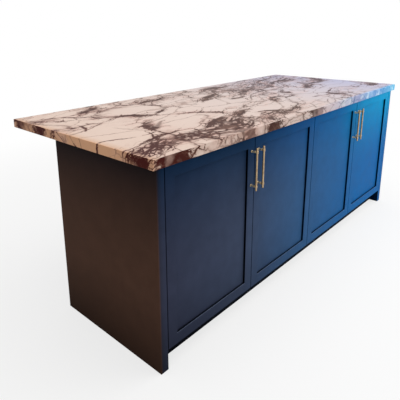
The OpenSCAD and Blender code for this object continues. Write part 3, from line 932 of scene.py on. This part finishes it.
def add_turned(shape: Mesh, profile: Profile, foot: Point, axis: Axis, sides: int = 40) -> None:
    """Adds a turned solid.

    Args:
        shape: The mesh that gets the solid.
        profile: Radius and height of each step, from the foot up; it starts and ends on the axis.
        foot: Where the axis starts.
        axis: Where the axis points.
        sides: Number of flat sides.
    """
    place = Matrix.Translation(foot) @ axis.turn()
    rings = []
    for radius, height in profile:
        count = sides if radius > TINY else 1
        angles = [2 * math.pi * i / count for i in range(count)]
        rings.append([shape.verts.new(place @ Vector((radius * math.cos(a), radius * math.sin(a), height)))
                      for a in angles])
    for lower, upper in zip(rings, rings[1:]):
        for i in range(sides):
            j = (i + 1) % sides
            corners = (lower[i % len(lower)], lower[j % len(lower)],
                       upper[j % len(upper)], upper[i % len(upper)])
            shape.faces.new(list(dict.fromkeys(corners)))


def edge_round(radius: float, steps: int = 3) -> Profile:
    """Returns points of a quarter circle from (0, radius) to (radius, 0), for a rounded edge."""
    angles = [math.pi / 2 * i / steps for i in range(steps + 1)]
    return [(radius - radius * math.cos(a), radius - radius * math.sin(a)) for a in angles]


def collar(shaft: float, radius: float, chamfer: float, start: float, end: float) -> list[Span]:
    """Returns a turned profile's steps along a chamfered collar on a shaft.

    Args:
        shaft: The shaft's radius.
        radius: The collar's radius.
        chamfer: Size of its chamfers.
        start: Height where it starts.
        end: Height where it ends.

    Returns:
        Radius and height of each step.
    """
    return [(shaft, start), (radius - chamfer, start), (radius, start + chamfer),
            (radius, end - chamfer), (radius - chamfer, end)]


def place_piece(piece: Piece, body: str, finish: Finish, *nodes: str) -> None:
    """Gives a finished piece its material and its body.

    Args:
        piece: The finished object.
        body: The CAD body that it moves with.
        finish: Its finish.
        nodes: CAD nodes that it stands for.
    """
    piece.data.materials.clear()
    piece.data.materials.append(finish.material())
    if nodes:
        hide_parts(*nodes)
    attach(piece, body)
    LOG.info("%s: %d faces on %s", piece.name, len(piece.data.polygons), body)


def place_board(node: str, ending: str, body: str, finish: Finish, arris: float) -> None:
    """Builds one plain board over its node.

    Args:
        node: The CAD node that it stands for.
        ending: What the piece's name adds to the node's.
        body: The CAD body that it moves with.
        finish: Its finish.
        arris: Radius of its edges.
    """
    shape = bmesh.new()
    add_board(shape, *node_box(node), arris)
    place_piece(finish_mesh(f"{node}_{ending}", shape), body, finish, node)


def dress_node(node: str, finish: Finish) -> None:
    """Gives a CAD node that stays its material.

    Args:
        node: The node's name.
        finish: Its finish.
    """
    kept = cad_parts[node]
    kept.data.materials.clear()
    kept.data.materials.append(finish.material())
    LOG.info("%s: carried over in %s", node, finish.name)


# Screws, repeated by a geometry tree


@dataclass(frozen=True)
class Screw:
    """One place where a screw head sits: its seat, and where it faces."""

    seat: Point
    faces: Axis


@dataclass
class ScrewHeads:
    """Screw heads with a cross recess, all of one size, set on their seats."""

    name: str
    head_width: float
    head_height: float
    crown: float = 0.55
    cross_width: float = 0.9
    cross_share: float = 0.62
    sides: int = 24
    seed: int = 7
    places: list[Screw] = field(default_factory=list)

    def build(self, body: str, finish: Finish) -> None:
        """Builds the heads as one plain mesh on one body.

        Args:
            body: The CAD body that carries them.
            finish: Their finish.
        """
        mesh = bpy.data.meshes.new(self.name)
        mesh.from_pydata([Vector(p.seat) * MM for p in self.places], [], [])
        facing = mesh.attributes.new("facing", "FLOAT_VECTOR", "POINT")
        facing.data.foreach_set("vector", [c for p in self.places for c in p.faces.value])
        piece = bpy.data.objects.new(self.name, mesh)
        bpy.context.scene.collection.objects.link(piece)
        values = {"Head width": self.head_width * MM, "Head height": self.head_height * MM,
                  "Crown": self.crown, "Cross width": self.cross_width * MM,
                  "Cross share": self.cross_share, "Sides": self.sides, "Seed": self.seed,
                  "Material": finish.material()}
        modifier = piece.modifiers.new("heads", "NODES")
        modifier.node_group = self.tree()
        for item in modifier.node_group.interface.items_tree:
            if item.in_out == "INPUT" and item.name in values:
                modifier[item.identifier] = values[item.name]
        bake_modifiers(piece)
        place_piece(piece, body, finish)

    def tree(self) -> Tree:
        """Makes the geometry tree that sets a head on each point, or finds it when it is made.

        Returns:
            The tree.
        """
        found = bpy.data.node_groups.get("screw_heads")
        if found:
            return found
        tree = bpy.data.node_groups.new("screw_heads", "GeometryNodeTree")
        for way, name, kind in (
                ("INPUT", "Geometry", "Geometry"), ("INPUT", "Head width", "Float"),
                ("INPUT", "Head height", "Float"), ("INPUT", "Crown", "Float"),
                ("INPUT", "Cross width", "Float"), ("INPUT", "Cross share", "Float"),
                ("INPUT", "Sides", "Int"), ("INPUT", "Seed", "Int"),
                ("INPUT", "Material", "Material"), ("OUTPUT", "Geometry", "Geometry")):
            tree.interface.new_socket(name, in_out=way, socket_type=f"NodeSocket{kind}")
        given = add(tree, "NodeGroupInput").outputs
        width, height, slot_width = given["Head width"], given["Head height"], given["Cross width"]
        radius = add(tree, MATH, (width, 0.5), operation="MULTIPLY")
        top = add(tree, MATH, (radius, given["Crown"]), operation="MULTIPLY")
        cut = add(tree, "GeometryNodeMeshCone", {"Vertices": given["Sides"], "Radius Top": top,
                                                 "Radius Bottom": radius, "Depth": height})
        reach = add(tree, MATH, (width, given["Cross share"]), operation="MULTIPLY")
        lift = add(tree, MATH, (height, 1.1), operation="MULTIPLY")
        raised = add(tree, JOIN, {"Z": lift})
        for across, along in ((reach, slot_width), (slot_width, reach)):
            blade = add(tree, "GeometryNodeMeshCube", {"Size": add(tree, JOIN, (across, along, height))})
            moved = add(tree, "GeometryNodeTransform", {"Geometry": blade, "Translation": raised})
            cut = add(tree, "GeometryNodeMeshBoolean", {"Mesh 1": cut, "Mesh 2": moved},
                      operation="DIFFERENCE")
        spin = add(tree, "FunctionNodeRandomValue", {2: 0.0, 3: math.pi, "Seed": given["Seed"]},
                   data_type="FLOAT")
        twist = add(tree, "FunctionNodeAxisAngleToRotation", {"Axis": (0.0, 0.0, 1.0), "Angle": spin})
        facing = add(tree, "GeometryNodeInputNamedAttribute", {"Name": "facing"}, data_type="FLOAT_VECTOR")
        turned = add(tree, "FunctionNodeAlignRotationToVector", {"Vector": facing}, axis="Z")
        aimed = add(tree, "FunctionNodeRotateRotation", {"Rotation": turned, "Rotate By": twist},
                    rotation_space="LOCAL")
        points = add(tree, "GeometryNodeMeshToPoints", {"Mesh": given["Geometry"]})
        heads = add(tree, "GeometryNodeInstanceOnPoints", {"Points": points, "Instance": cut,
                                                           "Rotation": aimed})
        real = add(tree, "GeometryNodeRealizeInstances", {"Geometry": heads})
        dressed = add(tree, "GeometryNodeSetMaterial", {"Geometry": real, "Material": given["Material"]})
        add(tree, "NodeGroupOutput", {"Geometry": dressed})
        return tree


# The island's own parts


@dataclass
class Worktop:
    """The stone slab."""

    arris: float = 1.6

    def build(self) -> None:
        """Builds the slab with its small rounded arris."""
        place_board("worktop", "slab", ISLAND, MARBLE, self.arris)


@dataclass
class Casing:
    """What stands round the cabinets: end panels, back panel, plinth, deck, battens and bars."""

    arris: float = 0.8
    bar_arris: float = 1.2
    notch_play: float = 0.1

    def build(self) -> None:
        """Builds the casing's boards and bars, and dresses the nodes that stay."""
        for side in ("left", "right"):
            place_board(f"end_panel_{side}", "board", ISLAND, NAVY, self.arris)
        place_board("plinth", "board", ISLAND, PLINTH_PAINT, self.arris)
        self.back_panel()
        self.bars()
        dress_node("back_battens", PINE)
        dress_node("sub_top", PLYWOOD)

    def bar_spans(self) -> list[Span]:
        """Returns the left and right edges of each overhang bar."""
        xs = sorted({round(v.co.x / MM, 2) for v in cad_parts["overhang_bars"].data.vertices})
        return list(zip(xs[::2], xs[1::2]))

    def back_panel(self) -> None:
        """Builds the back panel, notched at its upper edge for the bars."""
        low, high = node_box("back_panel")
        notch_z = node_box("overhang_bars")[0].z
        outline = [(low.x, low.z), (high.x, low.z), (high.x, high.z)]
        for left, right in reversed(self.bar_spans()):
            far, near = right + self.notch_play, left - self.notch_play
            outline += [(far, high.z), (far, notch_z), (near, notch_z), (near, high.z)]
        outline.append((low.x, high.z))
        shape = bmesh.new()
        face = shape.faces.new([shape.verts.new((x, low.y, z)) for x, z in outline])
        grown = bmesh.ops.extrude_face_region(shape, geom=[face])
        moved = [v for v in grown["geom"] if isinstance(v, bmesh.types.BMVert)]
        bmesh.ops.translate(shape, vec=(0, high.y - low.y, 0), verts=moved)
        round_edges(shape, shape.edges[:], self.arris)
        place_piece(finish_mesh("back_panel_board", shape), ISLAND, NAVY, "back_panel")

    def bars(self) -> None:
        """Builds the flat steel bars, their edges a little rounded."""
        low, high = node_box("overhang_bars")
        shape = bmesh.new()
        for left, right in self.bar_spans():
            add_board(shape, (left, low.y, low.z), (right, high.y, high.z), self.bar_arris)
        place_piece(finish_mesh("overhang_bars_coated", shape), ISLAND, BLACK_STEEL, "overhang_bars")


@dataclass
class Cabinets:
    """The two cabinet boxes, their shelves, pins and legs."""

    arris: float = 0.5

    def build(self) -> None:
        """Builds the plain boards and dresses the nodes that stay."""
        for side in ("left", "right"):
            for board in ("cabinet_bottom", "back_board", "shelf"):
                place_board(f"{board}_{side}", "faced", ISLAND, WHITE_BOARD, self.arris)
            dress_node(f"top_rails_{side}", WHITE_BOARD)
        for number in DOORS:
            dress_node(f"cabinet_side_{number}", WHITE_BOARD)
        dress_node("shelf_pins", NICKEL)
        for node in ("plinth_clips", "leg_sockets", "leg_stems", "leg_feet"):
            dress_node(node, BLACK_PLASTIC)


@dataclass
class Door:
    """One framed door with its centre panel, handle, hinge cups and small fixings."""

    number: int
    frame_width: float = 50.0
    recess: float = 11.0
    groove: float = 9.0
    play: float = 0.1
    arris: float = 1.6
    cup_width: float = 35.0
    cup_inset: float = 22.5
    cup_depth: float = 13.3
    cup_sheet: float = 0.8
    ear_reach: float = 24.0
    hinge_inset: float = 100.0
    handle_reach: float = 29.0
    bar_width: float = 10.0
    bar_chamfer: float = 0.9
    ring_width: float = 13.0
    ring_length: float = 12.0
    ring_chamfer: float = 0.8
    post_width: float = 8.0
    post_spacing: float = 160.0
    collar_width: float = 11.0
    collar_length: float = 2.5
    collar_chamfer: float = 0.5
    # Screw heads: width and height
    cup_screw: Span = (7.0, 1.6)
    handle_screw: Span = (8.5, 2.2)
    handle_screw_crown: float = 0.72
    bumper_inset: float = 18.0
    bumper_lift: float = 9.0
    # A bumper's dome from its glued foot up, as radius and height
    bumper: Profile = (
        (0, -0.2), (4.5, -0.2), (4.5, 0.8), (4.0, 1.6), (3.0, 2.1), (1.5, 2.35), (0, 2.4))
    bumper_smooth: float = 50.0

    def __post_init__(self) -> None:
        """Reads the door's place from the frame."""
        self.body = f"door_{self.number}"
        self.low, self.high = node_box(f"{self.body}_stiles")
        self.left_hung = self.number % 2 == 1
        self.width = self.high.x - self.low.x
        self.thickness = self.high.y - self.low.y

    def across(self, x: float) -> float:
        """Turns a distance from the hinged edge into a place along the front."""
        return self.low.x + x if self.left_hung else self.high.x - x

    def hinge_heights(self) -> Span:
        """Returns the heights of the two hinges' middles."""
        return self.low.z + self.hinge_inset, self.high.z - self.hinge_inset

    def build(self) -> None:
        """Builds the door's pieces."""
        self.build_frame()
        place_board(f"{self.body}_panel", "lacquered", self.body, NAVY, self.arris / 2)
        self.build_handle()
        self.build_fixings()
        for part in ("hinge_cups", "hinge_links", "hinge_pins"):
            dress_node(f"{self.body}_{part}", NICKEL)

    def section(self) -> Profile:
        """Draws the frame's section.

        Returns:
            Points as distance from the door's outline and depth from its face.
        """
        panel_low, panel_high = node_box(f"{self.body}_panel")
        low = self.recess - self.play
        high = self.recess + (panel_high.y - panel_low.y) + self.play
        inner, back = self.frame_width, self.thickness
        rounded = edge_round(self.arris)
        points = list(rounded)
        points += [(inner - a, b) for a, b in reversed(rounded)]
        points += [(inner, low), (inner - self.groove, low), (inner - self.groove, high), (inner, high)]
        points += [(inner - a, back - b) for a, b in rounded]
        points += [(a, back - b) for a, b in reversed(rounded)]
        return points

    def ring(self) -> Mesh:
        """Sweeps the frame's section round the door's four corners.

        Returns:
            The whole frame as one closed ring.
        """
        shape = bmesh.new()
        layer = shape.faces.layers.float.new(PAINTED_LIGHT_MARK)
        section, loops = self.section(), []
        for inset, depth in section:
            left, right = self.low.x + inset, self.high.x - inset
            bottom, top = self.low.z + inset, self.high.z - inset
            corners = ((left, bottom), (right, bottom), (right, top), (left, top))
            loops.append([shape.verts.new((x, self.low.y + depth, z)) for x, z in corners])
        for this, following, a, b in zip(loops, loops[1:] + loops[:1], section, section[1:] + section[:1]):
            slants = abs(a[0] - b[0]) > TINY and abs(a[1] - b[1]) > TINY
            hidden = min(a[0], b[0]) > self.frame_width - TINY or max(a[0], b[0]) < TINY
            for i in range(4):
                j = (i + 1) % 4
                made = shape.faces.new((this[i], this[j], following[j], following[i]))
                # Rounded strips carry the painted highlight mark; the recess walls and the door's outer
                # edge carry the painted shade mark
                made[layer] = PAINTED_HIGHLIGHT if slants else PAINTED_SHADE if hidden else 0.0
        return shape

    def cut(self, shape: Mesh, x: float, drop_right: bool) -> None:
        """Cuts a mesh at x, drops one side of it, and closes the cut faces.

        Args:
            shape: The mesh.
            x: Where it is cut.
            drop_right: Whether the right side is dropped, or else the left one.
        """
        geometry = shape.verts[:] + shape.edges[:] + shape.faces[:]
        made = bmesh.ops.bisect_plane(
            shape, geom=geometry, dist=TINY, plane_co=(x, 0, 0), plane_no=(1, 0, 0),
            clear_outer=drop_right, clear_inner=not drop_right)
        rims = [e for e in made["geom_cut"] if isinstance(e, bmesh.types.BMEdge)]
        bmesh.ops.edgeloop_fill(shape, edges=rims)

    def build_frame(self) -> None:
        """Builds the stiles, bored for the hinge cups, and the rails between them."""
        near, far = self.low.x + self.frame_width, self.high.x - self.frame_width
        stiles, right_stile, rails = self.ring(), self.ring(), self.ring()
        self.cut(stiles, near, True)
        self.cut(right_stile, far, False)
        spare = bpy.data.meshes.new("right_stile")
        right_stile.to_mesh(spare)
        right_stile.free()
        stiles.from_mesh(spare)
        bpy.data.meshes.remove(spare)
        self.cut(rails, far, True)
        self.cut(rails, near, False)
        upright = finish_mesh(f"{self.body}_stiles_lacquered", stiles)
        self.bore(upright)
        place_piece(upright, self.body, NAVY, f"{self.body}_stiles")
        level = finish_mesh(f"{self.body}_rails_lacquered", rails)
        place_piece(level, self.body, NAVY, f"{self.body}_rails")

    def bore(self, stiles: Piece) -> None:
        """Bores the hinged stile for its two cups.

        Args:
            stiles: The door's stiles.
        """
        shape = bmesh.new()
        radius, depth = self.cup_width / 2 + self.play, 2 * self.cup_depth
        for z in self.hinge_heights():
            foot = (self.across(self.cup_inset), self.high.y - self.cup_depth, z)
            add_turned(shape, [(0, 0), (radius, 0), (radius, depth), (0, depth)], foot, Axis.BACK, 64)
        drill = finish_mesh("drill", shape)
        cut = stiles.modifiers.new("cup_bores", "BOOLEAN")
        cut.object = drill
        cut.solver = "EXACT"
        bake_modifiers(stiles)
        bpy.data.objects.remove(drill)

    def build_handle(self) -> None:
        """Builds the turned bar with its two rings, and the collared posts."""
        low, high = node_box(f"{self.body}_handle_bar")
        middle, bar_y = (low.x + high.x) / 2, self.low.y - self.handle_reach
        length, radius, chamfer = high.z - low.z, self.bar_width / 2, self.bar_chamfer
        posts = [(length - self.post_spacing) / 2, (length + self.post_spacing) / 2]
        profile = [(0, 0), (radius - chamfer, 0), (radius, chamfer)]
        for post in posts:
            end = post + self.ring_length / 2
            profile += collar(radius, self.ring_width / 2, self.ring_chamfer, end - self.ring_length, end)
            profile.append((radius, end))
        profile += [(radius, length - chamfer), (radius - chamfer, length), (0, length)]
        shape = bmesh.new()
        add_turned(shape, profile, (middle, bar_y, low.z), Axis.UP, 48)
        bar = finish_mesh(f"{self.body}_handle_bar_brushed", shape)
        place_piece(bar, self.body, BRASS, f"{self.body}_handle_bar")
        shape = bmesh.new()
        for post in posts:
            add_turned(shape, self.post_profile(), (middle, bar_y, low.z + post), Axis.BACK)
        pale_posts = finish_mesh(f"{self.body}_handle_posts_painted_highlight", shape)
        place_piece(pale_posts, self.body, PALE_BRASS, f"{self.body}_handle_posts")

    def post_profile(self) -> Profile:
        """Returns a post's profile, from the bar's middle to the door's face.

        Returns:
            Radius and height of each step; the post tapers from one collar to the other.
        """
        radius = self.post_width / 2
        profile = [(0, 0), (radius, 0)]
        for start in (self.ring_width / 2, self.handle_reach - self.collar_length):
            profile += collar(radius, self.collar_width / 2, self.collar_chamfer,
                              start, start + self.collar_length)
        return profile + [(0, self.handle_reach)]

    def build_fixings(self) -> None:
        """Builds the screws on the door's back and the bumpers at its free edge."""
        back = self.high.y
        cup_x = self.across(self.cup_inset)
        cups = ScrewHeads(f"{self.body}_cup_screws", *self.cup_screw)
        cups.places = [Screw((cup_x, back + self.cup_sheet + self.cup_screw[1] / 2, z + reach), Axis.BACK)
                       for z in self.hinge_heights() for reach in (-self.ear_reach, self.ear_reach)]
        cups.build(self.body, NICKEL)
        low, high = node_box(f"{self.body}_handle_bar")
        middle, height = (low.x + high.x) / 2, (low.z + high.z) / 2
        handle = ScrewHeads(f"{self.body}_handle_screws", *self.handle_screw, self.handle_screw_crown)
        seat_y = back + self.handle_screw[1] / 2
        handle.places = [Screw((middle, seat_y, height + side * self.post_spacing / 2), Axis.BACK)
                         for side in (-1, 1)]
        handle.build(self.body, NICKEL)
        shape = bmesh.new()
        for z in (self.low.z + self.bumper_lift, self.high.z - self.bumper_inset):
            foot = (self.across(self.width - self.bumper_inset), back, z)
            add_turned(shape, self.bumper, foot, Axis.BACK, 24)
        bumpers = finish_mesh(f"{self.body}_bumpers", shape, self.bumper_smooth)
        place_piece(bumpers, self.body, BLACK_PLASTIC)


@dataclass
class Hinges:
    """The hinge arms and plates on the cabinet sides, with their screws."""

    plate_screw: Span = (9.0, 2.0)
    plate_screw_crown: float = 0.7
    plate_screw_reach: float = 19.0
    adjusting_screw: Span = (7.0, 1.4)
    adjusting_screw_crown: float = 0.8
    # How far the middle of an adjusting screw's head stands out from the arm
    adjusting_lift: float = 0.5
    wing: float = 2.0
    arm_x: float = 37.2
    adjusting: Span = (55.0, 83.0)
    plate_middle: float = 69.0
    board: float = 18.0
    gap: float = 4.0

    def build(self, doors: list[Door]) -> None:
        """Dresses the arms and plates, and sets their screws.

        Args:
            doors: The doors that hang on them.
        """
        dress_node("hinge_arms", NICKEL)
        dress_node("hinge_plates", NICKEL)
        fixing = ScrewHeads("hinge_plate_screws", *self.plate_screw, self.plate_screw_crown)
        adjusting = ScrewHeads("hinge_adjusting_screws", *self.adjusting_screw, self.adjusting_screw_crown)
        for door in doors:
            inward = Axis.RIGHT if door.left_hung else Axis.LEFT
            outer = door.number in (DOORS[0], DOORS[-1])
            side_face = self.board - (self.gap if outer else self.gap / 2)
            plate_x = door.across(side_face + self.wing + self.plate_screw[1] / 2)
            arm_x = door.across(self.arm_x + self.adjusting_lift)
            for z in door.hinge_heights():
                for reach in (-self.plate_screw_reach, self.plate_screw_reach):
                    seat = (plate_x, door.low.y + self.plate_middle, z + reach)
                    fixing.places.append(Screw(seat, inward))
                for y in self.adjusting:
                    adjusting.places.append(Screw((arm_x, door.low.y + y, z), inward))
        fixing.build(ISLAND, NICKEL)
        adjusting.build(ISLAND, NICKEL)


# The studio


@dataclass(frozen=True)
class Softbox:
    """A soft lamp: its name, its place, what it faces, its side in metres and its watts."""

    name: str
    at: Point
    aim: Point
    side: float
    power: float


@dataclass
class Studio:
    """A pale floor, a white surround, soft lamps and the photograph's camera."""

    floor_tone: str = "#efefee"
    floor_size: float = 60.0
    shade_reach: Span = (1.6, 3.6)
    near_white: float = 0.72
    surround: float = 0.62
    camera_at: Point = (-2139.7, -1520.5, 1345.3)
    azimuth: float = 46.965
    descent: float = 14.728
    roll: float = -0.578
    focal_length: float = 38.989
    sensor: float = 36.0
    shift: Span = (0.0350, -0.1574)
    sight: float = 100.0
    lamps: tuple[Softbox, ...] = (
        Softbox("ceiling_softbox", (200.0, -300.0, 3300.0), (0.0, 0.0, 900.0), 3.2, 52.0),
        Softbox("front_right_softbox", (3400.0, -3000.0, 2100.0), (300.0, -400.0, 500.0), 4.0, 110.0),
    )

    def build(self) -> None:
        """Builds the whole studio."""
        self.camera()
        self.floor()
        self.world()
        for softbox in self.lamps:
            self.hang(softbox)
        bpy.context.scene.view_settings.view_transform = "Standard"

    def camera(self) -> None:
        """Places the camera where the photograph was taken from."""
        turn, dip = math.radians(self.azimuth), math.radians(self.descent)
        ahead = Vector((math.sin(turn) * math.cos(dip), math.cos(turn) * math.cos(dip), -math.sin(dip)))
        right = ahead.cross(Vector((0, 0, 1))).normalized()
        level = Matrix((right, right.cross(ahead), -ahead)).transposed()
        data = bpy.data.cameras.new("photo_camera")
        data.sensor_width = self.sensor
        data.lens = self.focal_length
        data.shift_x, data.shift_y = self.shift
        data.clip_end = self.sight
        camera = bpy.data.objects.new("photo_camera", data)
        spun = level @ Matrix.Rotation(math.radians(self.roll), 3, "Z")
        camera.matrix_world = Matrix.Translation(Vector(self.camera_at) * MM) @ spun.to_4x4()
        bpy.context.scene.collection.objects.link(camera)
        bpy.context.scene.camera = camera

    def floor(self) -> None:
        """Lays the pale floor."""
        shape = bmesh.new()
        bmesh.ops.create_grid(shape, x_segments=1, y_segments=1, size=self.floor_size / MM / 2)
        floor = finish_mesh("studio_floor", shape)
        floor.data.materials.append(self.paper())

    def paper(self) -> bpy.types.Material:
        """Makes the floor's paper: white to the camera further out, shaded near the island.

        Returns:
            The material.
        """
        paper = bpy.data.materials.new("pale_backdrop_paper")
        paper.use_nodes = True
        tree = paper.node_tree
        tree.nodes.clear()
        matt = add(tree, "ShaderNodeBsdfDiffuse", {"Color": linear(self.floor_tone)})
        white = add(tree, "ShaderNodeEmission", {"Strength": 1.0})
        place = add(tree, "ShaderNodeTexCoord").outputs["Object"]
        far = add(tree, VECTOR_MATH, (place,), operation="LENGTH")
        fade = add(tree, RANGE, (far, *self.shade_reach, self.near_white, 1.0),
                   interpolation_type="SMOOTHSTEP")
        seen = add(tree, "ShaderNodeLightPath").outputs["Is Camera Ray"]
        share = add(tree, MATH, (fade, seen), operation="MULTIPLY")
        mixed = add(tree, "ShaderNodeMixShader", (share, matt, white))
        add(tree, "ShaderNodeOutputMaterial", {"Surface": mixed})
        return paper

    def world(self) -> None:
        """Lights the studio evenly and shows white behind it, also in glossy surfaces."""
        world = bpy.data.worlds.new("studio_surround")
        bpy.context.scene.world = world
        world.use_nodes = True
        tree = world.node_tree
        tree.nodes.clear()
        even, white = [add(tree, "ShaderNodeBackground", {"Color": (1.0,) * 4, "Strength": strength})
                       for strength in (self.surround, 1.0)]
        path = add(tree, "ShaderNodeLightPath").outputs
        seen = path["Is Camera Ray"]
        for other in ("Is Glossy Ray", "Is Transmission Ray"):
            seen = add(tree, MATH, (seen, path[other]), operation="MAXIMUM")
        mixed = add(tree, "ShaderNodeMixShader", (seen, even, white))
        add(tree, "ShaderNodeOutputWorld", {"Surface": mixed})

    def hang(self, softbox: Softbox) -> None:
        """Hangs one soft lamp.

        Args:
            softbox: The lamp.
        """
        data = bpy.data.lights.new(softbox.name, "AREA")
        data.size = softbox.side
        data.energy = softbox.power
        at = Vector(softbox.at)
        lamp = bpy.data.objects.new(softbox.name, data)
        lamp.location = at * MM
        lamp.rotation_euler = (at - Vector(softbox.aim)).to_track_quat("Z", "Y").to_euler()
        bpy.context.scene.collection.objects.link(lamp)


def main() -> None:
    """Builds the studio and the island, piece by piece."""
    logging.basicConfig(level=logging.INFO, format="%(name)s %(message)s")
    Studio().build()
    Worktop().build()
    Casing().build()
    Cabinets().build()
    doors = [Door(number) for number in DOORS]
    for door in doors:
        door.build()
    Hinges().build(doors)


if __name__ == "__main__":
    main()
